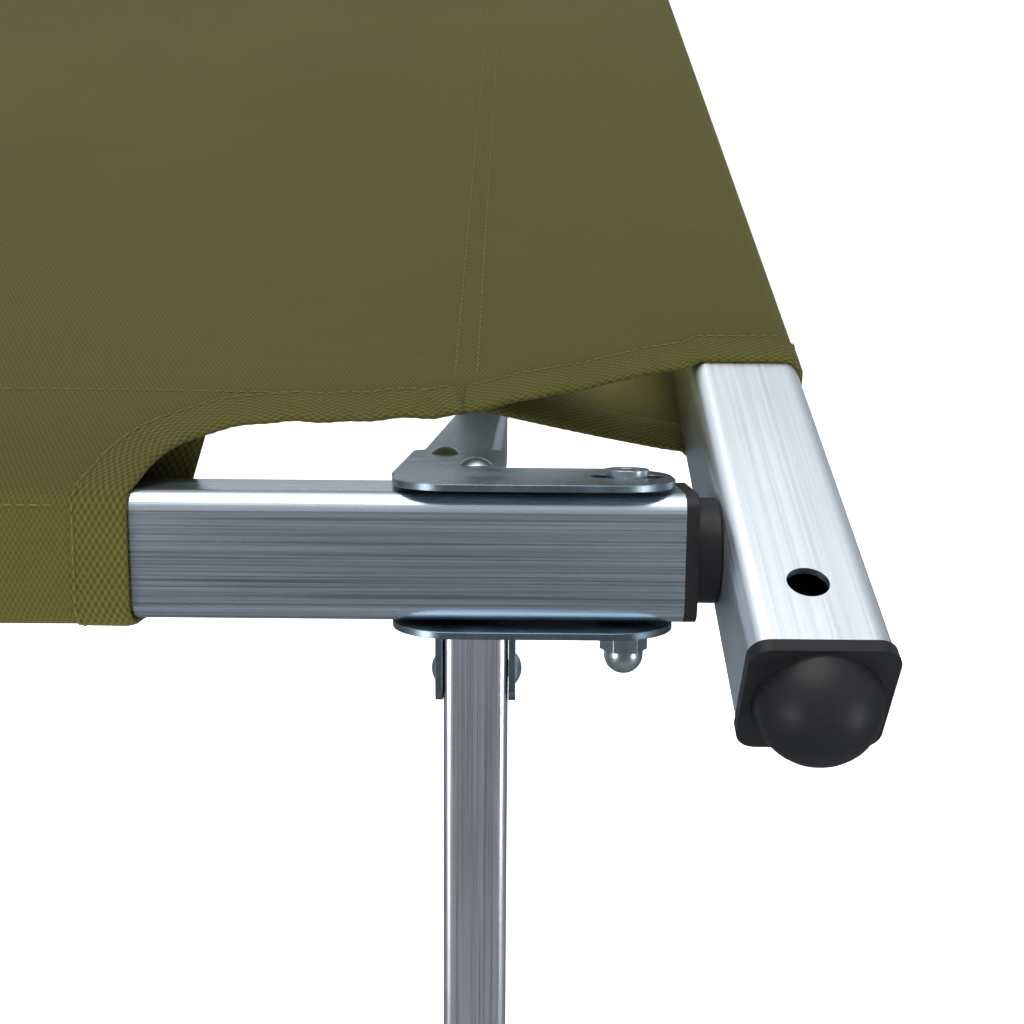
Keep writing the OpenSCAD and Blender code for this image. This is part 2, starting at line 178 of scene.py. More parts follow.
def ramp(tree, fac, stops):
    """A colour ramp through (place, colour) stops."""
    n = tree.nodes.new("ShaderNodeValToRGB")
    while len(n.color_ramp.elements) < len(stops):
        n.color_ramp.elements.new(0.5)
    for e, (place, colour) in zip(n.color_ramp.elements, stops):
        e.position = place
        e.color = (*colour, 1)
    tree.links.new(fac, n.inputs[0])
    return n.outputs[0]


def remap(tree, fac, low, high, to_low, to_high):
    n = tree.nodes.new("ShaderNodeMapRange")
    tree.links.new(fac, n.inputs["Value"])
    for key, v in (("From Min", low), ("From Max", high), ("To Min", to_low), ("To Max", to_high)):
        n.inputs[key].default_value = v
    return n.outputs[0]


def mix_colour(tree, fac, a, b, blend="MIX"):
    n = tree.nodes.new("ShaderNodeMix")
    n.data_type, n.blend_type = "RGBA", blend
    for key, v in ((0, fac), (6, a), (7, b)):
        if isinstance(v, (int, float)):
            n.inputs[key].default_value = v
        elif isinstance(v, tuple):
            n.inputs[key].default_value = (*v, 1)
        else:
            tree.links.new(v, n.inputs[key])
    return n.outputs[2]


def bump(tree, height, strength, distance, normal=None):
    n = node(tree, "ShaderNodeBump", strength=strength, distance=distance)
    tree.links.new(height, n.inputs["Height"])
    if normal is not None:
        tree.links.new(normal, n.inputs["Normal"])
    return n.outputs[0]


def scaled(colour, k):
    return tuple(c * k for c in colour)


def brushed_metal(name, colour, along, rough, contrast, streak=2200.0, grain=0.35):
    """Drawn aluminium: fine lines along the tube, faint die marks, a little haze."""
    m, t, p = new_material(name)
    at = position(t)
    along = Vector(along).normalized()
    side = along.cross(X if abs(along.x) < 0.9 else Z).normalized()
    up = along.cross(side)
    a, b, c = (dot(t, at, tuple(v)) for v in (along, side, up))
    fine = noise(t, combine(t, math_node(t, "MULTIPLY", a, 9.0), math_node(t, "MULTIPLY", b, streak),
                            math_node(t, "MULTIPLY", c, streak)), 1.0, 4.0, 0.6)
    die = noise(t, combine(t, math_node(t, "MULTIPLY", a, 1.2), math_node(t, "MULTIPLY", b, streak / 4),
                           math_node(t, "MULTIPLY", c, streak / 4)), 1.0, 3.0, 0.6)
    speck = noise(t, at, 2600.0, 2.0, 0.6)
    haze = noise(t, at, 14.0, 4.0, 0.55)
    lines = ramp(t, fine, [(0.30, scaled(colour, 1 - contrast)), (0.5, colour),
                           (0.72, scaled(colour, 1 + 0.35 * contrast))])
    marks = ramp(t, die, [(0.34, (0.74, 0.75, 0.77)), (0.46, (1, 1, 1))])
    tone = mix_colour(t, 0.6 * contrast + 0.25, lines, marks, "MULTIPLY")
    grained = mix_colour(t, grain, tone, ramp(t, speck, [(0.3, (0.72, 0.74, 0.76)), (0.7, (1, 1, 1))]),
                         "MULTIPLY")
    t.links.new(grained, p.inputs["Base Color"])
    p.inputs["Metallic"].default_value = 1.0
    t.links.new(math_node(t, "ADD", remap(t, fine, 0.3, 0.7, rough - 0.06, rough + 0.08),
                          remap(t, haze, 0.3, 0.7, -0.03, 0.05)), p.inputs["Roughness"])
    t.links.new(bump(t, fine, 0.22, 0.00006, bump(t, die, 0.15, 0.0001)), p.inputs["Normal"])
    return m


def zinc(name, colour, rough, spangle, scratch):
    """Bright zinc plate: bluish cloudy crystals, fine scratches and worn, softly rounded edges."""
    m, t, p = new_material(name)
    at = position(t)
    cloud = noise(t, at, 120.0, 5.0, 0.6)
    cells = node(t, "ShaderNodeTexVoronoi", scale=spangle)
    t.links.new(at, cells.inputs["Vector"])
    hair = noise(t, combine(t, math_node(t, "MULTIPLY", dot(t, at, (0.92, 0.38, 0.1)), 60.0),
                            math_node(t, "MULTIPLY", dot(t, at, (-0.38, 0.92, 0.1)), 2200.0),
                            math_node(t, "MULTIPLY", dot(t, at, Z), 2200.0)), 1.0, 2.0)
    base = ramp(t, cloud, [(0.3, scaled(colour, 0.86)), (0.55, colour), (0.75, scaled(colour, 1.1))])
    spots = ramp(t, cells.outputs["Distance"], [(0.1, (1, 1, 1)), (0.75, (0.78, 0.84, 0.88))])
    tone = mix_colour(t, 0.6, base, spots, "MULTIPLY")
    tone = mix_colour(t, scratch, tone, ramp(t, hair, [(0.3, (0.8, 0.83, 0.86)), (0.6, (1, 1, 1))]),
                      "MULTIPLY")
    t.links.new(tone, p.inputs["Base Color"])
    p.inputs["Metallic"].default_value = 1.0
    t.links.new(remap(t, cloud, 0.3, 0.7, rough - 0.05, rough + 0.09), p.inputs["Roughness"])
    edge = node(t, "ShaderNodeBevel", samples=4, radius=0.00035)
    t.links.new(bump(t, hair, 0.2, 0.00006, bump(t, cloud, 0.12, 0.0003, edge.outputs[0])),
                p.inputs["Normal"])
    return m


def moulded(name, colour, rough, grain):
    """Injection moulded plastic: fine grain, faint flow clouds, slightly worn."""
    m, t, p = new_material(name)
    at = position(t)
    flow = noise(t, at, 45.0, 4.0, 0.6)
    fine = noise(t, at, 1700.0, 2.0, 0.5)
    t.links.new(ramp(t, flow, [(0.3, scaled(colour, 0.75)), (0.7, scaled(colour, 1.3))]),
                p.inputs["Base Color"])
    t.links.new(math_node(t, "ADD", remap(t, flow, 0.3, 0.7, rough - 0.05, rough + 0.06),
                          remap(t, fine, 0.3, 0.7, -0.03, 0.03)), p.inputs["Roughness"])
    p.inputs["Specular IOR Level"].default_value = 0.26
    edge = node(t, "ShaderNodeBevel", samples=4, radius=0.0004)
    t.links.new(bump(t, fine, grain, 0.00008, bump(t, flow, 0.05, 0.001, edge.outputs[0])),
                p.inputs["Normal"])
    return m


def woven(name, colour, pitch_u, pitch_v, depth, light, dark):
    """Woven cloth: staggered thread crowns on the sheet's own length and width, with painted highlight
    on the crowns and painted shade between them, slubs, uneven dye and fluff."""
    m, t, p = new_material(name)
    uv = t.nodes.new("ShaderNodeTexCoord").outputs["UV"]
    parts = t.nodes.new("ShaderNodeSeparateXYZ")
    t.links.new(uv, parts.inputs[0])
    drift = noise(t, uv, 260.0, 2.0)
    u = math_node(t, "ADD", parts.outputs[0], remap(t, drift, 0, 1, -0.00012, 0.00012))
    v = math_node(t, "ADD", parts.outputs[1], remap(t, drift, 0, 1, 0.00012, -0.00012))
    wave_u = math_node(t, "SINE", math_node(t, "MULTIPLY", u, 2 * math.pi / (pitch_u * MM)))
    wave_v = math_node(t, "SINE", math_node(t, "MULTIPLY", v, 2 * math.pi / (pitch_v * MM)))
    crowns = remap(t, math_node(t, "MULTIPLY", wave_u, wave_v), -1, 1, 0, 1)
    thread = noise(t, combine(t, math_node(t, "MULTIPLY", u, 900.0),
                              math_node(t, "MULTIPLY", v, 5200.0), 0.0), 1.0, 3.0, 0.6)
    slub = noise(t, combine(t, math_node(t, "MULTIPLY", u, 24.0),
                            math_node(t, "MULTIPLY", v, 900.0), 0.0), 1.0, 2.0)
    dye = noise(t, position(t), 9.0, 4.0, 0.55)
    # Painted highlight on the thread crowns and painted shade in the gaps between them, on top of the bump
    crown_and_gap_painted_shade = ramp(t, crowns, [(0.05, scaled(colour, dark)), (0.5, scaled(colour, 0.97)),
                             (0.95, scaled(colour, light))])
    tone = mix_colour(t, 0.5, crown_and_gap_painted_shade, ramp(t, thread, [(0.3, (0.72, 0.72, 0.70)), (0.7, (1, 1, 1))]),
                      "MULTIPLY")
    tone = mix_colour(t, 0.35, tone, ramp(t, slub, [(0.3, (0.8, 0.8, 0.78)), (0.65, (1, 1, 1))]),
                      "MULTIPLY")
    tone = mix_colour(t, 1.0, tone, ramp(t, dye, [(0.3, (0.9, 0.9, 0.88)), (0.7, (1.0, 1.0, 1.0))]),
                      "MULTIPLY")
    t.links.new(tone, p.inputs["Base Color"])
    t.links.new(remap(t, crowns, 0, 1, 0.92, 0.72), p.inputs["Roughness"])
    p.inputs["Specular IOR Level"].default_value = 0.14
    p.inputs["Sheen Weight"].default_value = 0.05
    p.inputs["Sheen Roughness"].default_value = 0.45
    p.inputs["Sheen Tint"].default_value = (0.75, 0.75, 0.5, 1)
    t.links.new(bump(t, crowns, 0.75, depth * MM, bump(t, thread, 0.4, 0.00008)), p.inputs["Normal"])
    return m


OLIVE = (0.075, 0.072, 0.0165)
canvas = woven("canvas", OLIVE, 1.25, 2.1, 0.11, 1.15, 0.76)
webbing = woven("webbing", scaled(OLIVE, 1.03), 1.6, 2.6, 0.24, 1.3, 0.62)
thread_cloth = woven("sewing_thread", scaled(OLIVE, 1.75), 0.5, 0.5, 0.02, 1.1, 0.85)
rail_metal = brushed_metal("brushed_rail", (0.66, 0.76, 0.86), X, 0.26, 0.42)
bar_metal = brushed_metal("satin_bar", (0.71, 0.76, 0.80), Y, 0.38, 0.03, 1500.0, 0.06)
# The arms and legs are plain aluminium like the rails: the arms' darker colour is painted shade and the
# legs' paler colour is painted light
shaded_arm_metal = {s: brushed_metal(f"arm_{s}", (0.35, 0.42, 0.48), (0, k * COS, -SIN), 0.32, 0.3)
             for s, k in (("near", 1), ("far", -1))}
lit_leg_metal = {s: brushed_metal(f"leg_{s}", (0.94, 0.96, 1.0), (0, k * SIN, COS), 0.30, 0.35)
             for s, k in (("near", 1), ("far", -1))}
plate_metal = zinc("zinc_plate", (0.27, 0.35, 0.40), 0.30, 1100.0, 0.3)
fastener_metal = zinc("zinc_fastener", (0.56, 0.64, 0.69), 0.30, 1500.0, 0.2)
black = moulded("black_plastic", (0.0075, 0.0078, 0.009), 0.44, 0.16)
washer_black = moulded("washer_plastic", (0.03, 0.03, 0.032), 0.45, 0.2)


def finish_of(name):
    side = name.split("_")[0]
    if "knob" in name or "cap" in name:
        return black
    if "spacer" in name:
        return washer_black
    if "rail_head" in name or "rail_foot" in name:
        return rail_metal
    if name.startswith("end_bar"):
        return bar_metal
    if "_arm_" in name:
        return shaded_arm_metal[side]
    if "_leg_pins" not in name and "_leg_" in name:
        return lit_leg_metal[side]
    if any(w in name for w in ("pin", "rivet", "bolt", "nut")):
        return fastener_metal
    return plate_metal


for name, o in frame["nodes"].items():
    o.data.materials.clear()
    o.data.materials.append(finish_of(name))


# ---------------------------------------------------------------- cloth surfaces

# The corner cut-out's edge, by distance past the side sleeve's mouth and distance inside the rail:
# first a quarter ellipse, ROUND_L long and up to ROUND_TOP, then lines through SCALLOP
ROUND_START, ROUND_L, ROUND_TOP = 0.8, 27.2, 26.8
SCALLOP = [(28, ROUND_TOP), (68, 31.4), (82, 37.2), (136, 61.8), (144, END_MOUTH_H)]


def scallop(d):
    """How far inside the rail the cut-out's edge is, d past the mouth."""
    if d < ROUND_START + ROUND_L:
        left = 1 - clamp((d - ROUND_START) / ROUND_L)
        return CREST_H + (ROUND_TOP - CREST_H) * math.sqrt(1 - left * left)
    return interpolate(SCALLOP, d)


def cut_edge(x):
    """How far inside the rail's centre line the panel stops at x, or where it wraps the rail."""
    if abs(x) > SIDE_MOUTH:
        h = scallop(abs(x) - SIDE_MOUTH)
    elif MID_MOUTHS[0] < x < MID_MOUTHS[1]:
        h = min(scallop(min(x - MID_MOUTHS[0], MID_MOUTHS[1] - x)), ROUND_TOP)
    else:
        return CREST_H
    ripple = 0.5 * math.sin(x * 0.21) + 0.35 * math.sin(x * 0.47 + 1.0)
    return h + ripple * smooth((h - CREST_H) / 20)


RISE_L, RISE_SPREAD, RISE_MAX = 136, 1.1, 420   # the rise from bar to rail: at the rail, growth, limit
SAG_HALF_W, SAG_L = 330, 220
TENSION = 0.35


def panel_z(x, y):
    """Height of the panel over the rail's centre line: it rises from the bars' tops to the rails'
    tops, sags in the middle and has faint pull lines."""
    h = RAIL_Y - abs(y)
    from_bar = BAR_IN - abs(x)
    reach = RISE_L + RISE_SPREAD * max(0.0, h + 4)
    drop = clamp(from_bar / min(reach, RISE_MAX))
    level = BAR_TOP + (CREST - BAR_TOP) * math.sin(math.pi / 2 * drop)
    middle = 1 - (y / SAG_HALF_W) ** 2
    sag = SAG * middle * (1 - math.exp(-max(0.0, from_bar) / SAG_L))
    pull = TENSION * math.sin(x * 0.035 + 0.012 * y) * smooth((h - 20) / 120) * smooth(from_bar / 60)
    return level - sag + pull


def rail_wrap():
    """The side sleeve's section from the rail's top to the seam: (c, r) points, mm."""
    inner, reach = HALF_TUBE - TUBE_R, TUBE_R + CLEAR
    line = []

    def corner(cc, rr, start, end, steps):
        for i in range(steps + 1):
            a = math.radians(start + (end - start) * i / steps)
            line.append((cc + reach * math.cos(a), rr + reach * math.sin(a)))

    corner(-inner, inner, 120, 180, 5)
    corner(-inner, -inner, 180, 270, 6)
    corner(inner, -inner, 270, 350, 5)
    z = CREST - 1.2                         # just under the panel
    line.append((SEAM_H * COS - z * SIN, SEAM_H * SIN + z * COS))
    fine = [line[0]]
    for a, b in zip(line, line[1:]):
        steps = max(1, round(math.dist(a, b) / 3.0))
        fine += [(a[0] + (b[0] - a[0]) * i / steps, a[1] + (b[1] - a[1]) * i / steps)
                 for i in range(1, steps + 1)]
    return fine


WRAP = rail_wrap()
WRAP_S = [0.0]
for p0, p1 in zip(WRAP, WRAP[1:]):
    WRAP_S.append(WRAP_S[-1] + math.dist(p0, p1))
WRAP_L = WRAP_S[-1]
HALF_W = RAIL_Y - CREST_H      # from the bed's middle to where the cloth starts to wrap


MOUTH_SLACK_L, MOUTH_BACK, MOUTH_BACK_S = 26, 11.0, 42   # the inner layer draws back at a mouth


def bed_point(x, s, side):
    """The bed cloth at x, s mm outwards of the rail's top (inwards if negative)."""
    if s <= 0:
        h = CREST_H - s
        y = RAIL_Y - h
        return Vector((x, side * y, RAIL_Z + panel_z(x, y))) * MM
    c = interpolate(list(zip(WRAP_S, [p[0] for p in WRAP])), s)
    r = interpolate(list(zip(WRAP_S, [p[1] for p in WRAP])), s)
    slack = 0.5 * math.sin(math.pi * clamp(s / WRAP_L)) * (1 + 0.5 * math.sin(x * 0.045 + side))
    outward = Vector((c, r)).normalized()
    near_mouth = smooth((abs(x) - SIDE_MOUTH + MOUTH_SLACK_L) / MOUTH_SLACK_L)
    back = near_mouth * MOUTH_BACK * clamp((s - (WRAP_L - MOUTH_BACK_S)) / MOUTH_BACK_S)
    settle = clamp(s / 10) * slack
    return world(x + math.copysign(back, x), c + outward.x * settle, r + outward.y * settle, side)


UNDER_SEAM_EDGE, UNDER_EDGE_L = 38.5, 61        # the under layer's edge: place at the seam, and run
UNDER_SEAM_Z, UNDER_BOW = 1.0, 0.4              # its drop below the panel at the seam, and its bow


def end_loop():
    """The end sleeve's section from the seam over, round and under the end bar and back: each
    point is x, height over the rail's centre line and the edge's distance inside the rail. The
    height is None on the panel, and on the under layer it is (part of the way back to the seam,
    height at its start). The edge is None where it follows the cut-out."""
    reach, inner_x, outer_x = TUBE_R + CLEAR, BAR_IN + TUBE_R, BAR_OUT - TUBE_R
    h = BAR_HALF_H - TUBE_R
    line = [(x, None, None) for x in (859, 863, 868, 873, 878, 884, 890, 896, 902, 908, 914, 919)]
    line += [(x, BAR_TOP, END_MOUTH_H) for x in (923, 928, 933, 938, 942, 946.5)]

    def mouth(z):
        return END_MOUTH_H - END_MOUTH_LEAN * (BAR_TOP - z) / (2 * BAR_TOP)

    def corner(cx, cz, start, end, steps):
        for i in range(1, steps + 1):
            a = math.radians(start + (end - start) * i / steps)
            z = cz + reach * math.sin(a)
            line.append((cx + reach * math.cos(a), z, mouth(z)))

    corner(outer_x, h, 90, 0, 5)
    line.extend((BAR_OUT + CLEAR, z, mouth(z)) for z in (6, 2, -2, -6, -10.5))
    corner(outer_x, -h, 0, -90, 5)
    line.extend((x, -BAR_TOP, mouth(-BAR_TOP)) for x in (941, 936, 931, 926, inner_x))
    corner(inner_x, -h, -90, -150, 4)
    x0, z0, _ = line[-1]
    steps = 10
    for i in range(1, steps + 1):
        part = i / steps
        x = x0 + (END_SEAM_X + 0.5 - x0) * part
        edge = interpolate([(0, UNDER_SEAM_EDGE), (UNDER_EDGE_L, mouth(-BAR_TOP))], x - END_SEAM_X)
        line.append((x, (part, z0), edge))
    return line


END = end_loop()


def end_point(k, j, end):
    """The end sleeve at point k of its loop, and j from -1 at its near edge to 1 at its far edge."""
    x, z, edge = END[k]
    if edge is None:
        edge = cut_edge(x)
    y = j * (RAIL_Y - edge)
    if z is None:
        z = panel_z(x, y)
    elif isinstance(z, tuple):
        part, z0 = z
        seam = panel_z(END_SEAM_X, y) - UNDER_SEAM_Z
        z = z0 + (seam - z0) * part - UNDER_BOW * math.sin(math.pi * part)
    return Vector((end * x, y, RAIL_Z + z)) * MM


# ---------------------------------------------------------------- mesh helpers

def mesh_object(name, verts, faces, uvs, material=canvas):
    me = bpy.data.meshes.new(name)
    me.from_pydata([tuple(v) for v in verts], [], faces)
    if uvs:
        layer = me.uv_layers.new(name="UVMap")
        for loop in me.loops:
            layer.data[loop.index].uv = uvs[loop.vertex_index]
    me.materials.append(material)
    me.polygons.foreach_set("use_smooth", [True] * len(me.polygons))
    o = bpy.data.objects.new(name, me)
    bpy.context.scene.collection.objects.link(o)
    return o


def apply_modifiers(o):
    bpy.context.view_layer.update()
    done = bpy.data.meshes.new_from_object(o.evaluated_get(bpy.context.evaluated_depsgraph_get()))
    o.modifiers.clear()
    o.data = done
    return o


def thicken(o, thickness):
    m = o.modifiers.new("thickness", "SOLIDIFY")
    m.thickness, m.offset, m.use_even_offset = thickness * MM, 0.0, False
    apply_modifiers(o)
    o.data.set_sharp_from_angle(angle=math.radians(50))
    return o


def facing_out(o):
    """Turns a closed mesh's faces outwards."""
    b = bmesh.new()
    b.from_mesh(o.data)
    bmesh.ops.recalc_face_normals(b, faces=b.faces)
    b.to_mesh(o.data)
    b.free()
    return o


def joined(name, objects):
    """One object made of several meshes."""
    with bpy.context.temp_override(active_object=objects[0], object=objects[0],
                                   selected_objects=objects, selected_editable_objects=objects):
        bpy.ops.object.join()
    objects[0].name = objects[0].data.name = name
    return objects[0]


# ---------------------------------------------------------------- bed cloth

def stations():
    """The bed's columns along x: close at the sleeves' mouths and the cut-outs."""
    marks = [END_SEAM_X]
    past = [1, 2, 4, 6, 9, 12, 16, 20, 28, 36, 46, 55, 65]
    marks += [SIDE_MOUTH + d for d in past] + [SIDE_MOUTH]
    marks += [SIDE_MOUTH - d for d in (3, 7, 11, 16, 22, 30)]
    xs = set(marks) | {-v for v in marks}
    for d in [0] + [p for p in past if p < MID_GAP / 2] + [80, 100]:
        xs |= {MID_MOUTHS[0] + d, MID_MOUTHS[1] - d}
    for m in MID_MOUTHS:
        xs |= {m + (-d if m < 0 else d) for d in (3, 7, 12, 20)}
    step, room = 14, 6
    for i in range(-54, 55):
        v = i * step
        if all(abs(v - q) > room for q in xs):
            xs.add(v)
    return sorted(xs)


def has_sleeve(x):
    return abs(x) <= SIDE_MOUTH and not MID_MOUTHS[0] < x < MID_MOUTHS[1]


def bed_cloth():
    columns = 46                              # from the middle to each edge
    xs = stations()
    index, verts, uvs = {}, [], []

    def vertex(i, x, s, side, k):
        key = (i, 0 if k == 0 else side, k)
        if key not in index:
            index[key] = len(verts)
            verts.append(bed_point(x, s, side))
            uvs.append((x * MM, side * (HALF_W + s) * MM))
        return index[key]

    rows = {}
    for i, x in enumerate(xs):
        edge = CREST_H - cut_edge(x)
        for side in (-1, 1):
            row = []
            for k in range(columns + 1):
                t = 1 - (1 - k / columns) ** 1.5
                row.append(vertex(i, x, -HALF_W + (HALF_W + edge) * t, side, k))
            if has_sleeve(x):
                row += [vertex(i, x, s, side, columns + j) for j, s in enumerate(WRAP_S) if j]
            rows[i, side] = row
    faces = []
    for i in range(len(xs) - 1):
        for side in (-1, 1):
            a, b = rows[i, side], rows[i + 1, side]
            for k in range(min(len(a), len(b)) - 1):
                quad = (a[k], b[k], b[k + 1], a[k + 1])
                faces.append(quad if side > 0 else quad[::-1])
    flat_area = 0.0
    for x0, x1 in zip(xs, xs[1:]):
        for x in (x0, x1):
            flat_area += (x1 - x0) * (HALF_W + CREST_H - cut_edge(x))
        if has_sleeve(x0) and has_sleeve(x1):
            flat_area += 2 * (x1 - x0) * WRAP_L
    o = thicken(mesh_object("bed_cloth", verts, faces, uvs), CLOTH_T)
    return o, flat_area * MM * MM


bed, bed_area = bed_cloth()


def end_cloth(name, end):
    """An end sleeve as one sheet, with its flat area and its length round the bar and back."""
    count = 72                                # columns across the bed, closer at the edges
    verts, uvs, faces = [], [], []
    run = 0.0
    for k in range(len(END)):
        if k:
            run += (end_point(k, 0, 1) - end_point(k - 1, 0, 1)).length
        for i in range(count + 1):
            j = math.sin(math.pi / 2 * (2 * i / count - 1))
            p = end_point(k, j, end)
            verts.append(p)
            uvs.append((END_SEAM_X * MM + run, p.y))
    w = count + 1
    for k in range(len(END) - 1):
        for i in range(count):
            quad = (k * w + i, (k + 1) * w + i, (k + 1) * w + i + 1, k * w + i + 1)
            faces.append(quad if end > 0 else quad[::-1])
    o = thicken(mesh_object(name, verts, faces, uvs), CLOTH_T)
    area = 0.0
    for k in range(len(END) - 1):
        step = (end_point(k + 1, 0, 1) - end_point(k, 0, 1)).length
        area += step * (end_point(k, 1, 1).y + end_point(k + 1, 1, 1).y)
    return o, area, run


head, head_area, end_run = end_cloth("head_cloth", 1)
foot, foot_area, _ = end_cloth("foot_cloth", -1)


# ---------------------------------------------------------------- tapes and stitches

# The tape's section round a cut edge: distance in from the edge, and height off the cloth, mm
TAPE_SECTION = [(TAPE_W, 0.45), (TAPE_W - 0.4, 0.8), (TAPE_W - 4, 0.95), (4, 1.0), (0.8, 0.95),
                (-0.5, 0.6), (-0.8, 0.0), (-0.5, -0.6), (0.8, -0.95), (4, -1.0), (TAPE_W - 4, -0.95),
                (TAPE_W - 0.4, -0.8), (TAPE_W, -0.45)]
TAPE_ROW = TAPE_W - 1.2       # the tape's row of stitches, in from the edge
MOUTH_STEPS = 44              # of the line down a sleeve's mouth, from the rail's top to the seam
CORNER_L = 75                 # of tape past a corner's mouth


def bed_edge():
    """A corner's cut edge of the bed cloth, from the end seam to the mouth and down it, as (x, s)
    points."""
    corner = []
    for d in range(CORNER_L, 0, -1):
        x = SIDE_MOUTH + d
        corner.append((x, CREST_H - cut_edge(x)))
    return corner + [(SIDE_MOUTH, WRAP_L * i / MOUTH_STEPS) for i in range(MOUTH_STEPS + 1)]


def headings(points):
    """A line's unit direction at each of its points, from the neighbours."""
    out = []
    for i in range(len(points)):
        a, b = points[max(0, i - 1)], points[min(len(points) - 1, i + 1)]
        du, dv = b[0] - a[0], b[1] - a[1]
        length = math.hypot(du, dv) or 1.0
        out.append((du / length, dv / length))
    return out


def offset_line(points, distance):
    """The line moved into the cloth, which is on its left."""
    return [(u - dv * distance, v + du * distance) for (u, v), (du, dv) in zip(points, headings(points))]


def surface_frames(points, place):
    """(origin, across, up) along a line on a surface: place(u, v) gives a point, and across points
    into the cloth."""
    frames = []
    for (u, v), (du, dv) in zip(points, headings(points)):
        origin = place(u, v)
        across = (place(u - 0.5 * dv, v + 0.5 * du) - origin).normalized()
        along = (place(u + 0.5 * du, v + 0.5 * dv) - origin).normalized()
        frames.append((origin, across, across.cross(along).normalized()))
    return frames


def tape_on(name, points, place):
    """A bound edge: the tape follows the surface, column by column, over the cloth's edge."""
    verts, faces, uvs = [], [], []
    n, run = len(TAPE_SECTION), 0.0
    frames = surface_frames(points, place)
    for i, ((u, v), (du, dv)) in enumerate(zip(points, headings(points))):
        if i:
            run += (frames[i][0] - frames[i - 1][0]).length
        w = 0.0
        for k, (across, up) in enumerate(TAPE_SECTION):
            if k:
                w += math.dist(TAPE_SECTION[k - 1], (across, up))
            t = max(across, 0.0)
            base = place(u - dv * t, v + du * t)
            base += frames[i][1] * (across - t) * MM
            puff = 0.12 * math.sin(run / MM * 1.9) * (across < 1)
            verts.append(base + frames[i][2] * (up * (1 + puff)) * MM)
            uvs.append((w * MM, run))
    for i in range(len(points) - 1):
        for k in range(n):
            q = (k + 1) % n
            faces.append((i * n + k, i * n + q, (i + 1) * n + q, (i + 1) * n + k))
    faces.append(tuple(range(n)))
    faces.append(tuple(reversed(range((len(points) - 1) * n, len(points) * n))))
    return facing_out(mesh_object(name, verts, faces, uvs, webbing))


def outward_normal(place, u, v):
    p = place(u, v)
    return (place(u + 0.5, v) - p).cross(place(u, v + 0.5) - p).normalized()


STITCH_PITCH, STITCH_L, STITCH_W = 3.0, 2.0, 0.26
STITCH_RINGS = ((-0.5, -0.2, 0.45), (-0.36, 0.8, 1.0), (0, 1.0, 1.0), (0.36, 0.8, 1.0), (0.5, -0.2, 0.45))
STITCH_SIDES = 6
CLOTH_LIFT, TAPE_LIFT = 0.42, 0.86    # of a row of stitches off the cloth's middle


def stitches(name, rows):
    """Rows of thread stitches: each row is (points in mm, place, lift, sign) on a surface, where
    sign turns the surface's normal to the side that is seen. A stitch is five rings, each with its
    place along it, its rise and its thickness."""
    verts, faces, uvs = [], [], []
    n = STITCH_SIDES
    for points, place, lift, sign in rows:
        line = [place(u, v) for u, v in points]
        lengths = [0.0]
        for a, b in zip(line, line[1:]):
            lengths.append(lengths[-1] + (b - a).length / MM)
        at = STITCH_PITCH
        while at < lengths[-1] - STITCH_PITCH:
            i = next(k for k in range(1, len(lengths)) if lengths[k] >= at)
            f = (at - lengths[i - 1]) / max(1e-6, lengths[i] - lengths[i - 1])
            middle = line[i - 1].lerp(line[i], f)
            along = (line[i] - line[i - 1]).normalized()
            u = points[i - 1][0] + (points[i][0] - points[i - 1][0]) * f
            v = points[i - 1][1] + (points[i][1] - points[i - 1][1]) * f
            up = outward_normal(place, u, v) * sign
            side = along.cross(up).normalized()
            base = len(verts)
            for reach, rise, thin in STITCH_RINGS:
                centre = middle + along * reach * STITCH_L * MM + up * lift * MM
                for a in range(n):
                    turn = math.tau * a / n
                    offset = side * math.cos(turn) * thin + up * (math.sin(turn) * 0.7 * thin + rise * 0.5)
                    verts.append(centre + offset * STITCH_W * MM)
                    uvs.append((reach * 0.002, a * 0.0003))
            last = (len(STITCH_RINGS) - 1) * n
            for k in range(0, last, n):
                for a in range(n):
                    b = (a + 1) % n
                    faces.append((base + k + a, base + k + b, base + k + n + b, base + k + n + a))
            faces.append(tuple(base + a for a in reversed(range(n))))
            faces.append(tuple(base + last + a for a in range(n)))
            at += STITCH_PITCH
    return facing_out(mesh_object(name, verts, faces, uvs, thread_cloth))


def line_x(x0, x1, s):
    """A line along x at s, in steps of about 6 mm."""
    n = max(2, int(abs(x1 - x0) / 6.0))
    return [(x0 + (x1 - x0) * i / n, s) for i in range(n + 1)]


UNTAPED = 14            # points down a mouth, from the seam, that have tape but no stitches
SEAM_END, MOUTH_END = 8, 14   # rows of stitches stop this far from a seam or a mouth
SLEEVE_ROW = 4.2        # the side sleeve's upper row, outwards of the rail's top
END_ROW = 3.0           # the rows across the bed, from the end seam
MID_STEPS = [1, 2, 3, 4, 6, 8, 10, 12, 16, 20, 24, 28]   # distances from a middle mouth

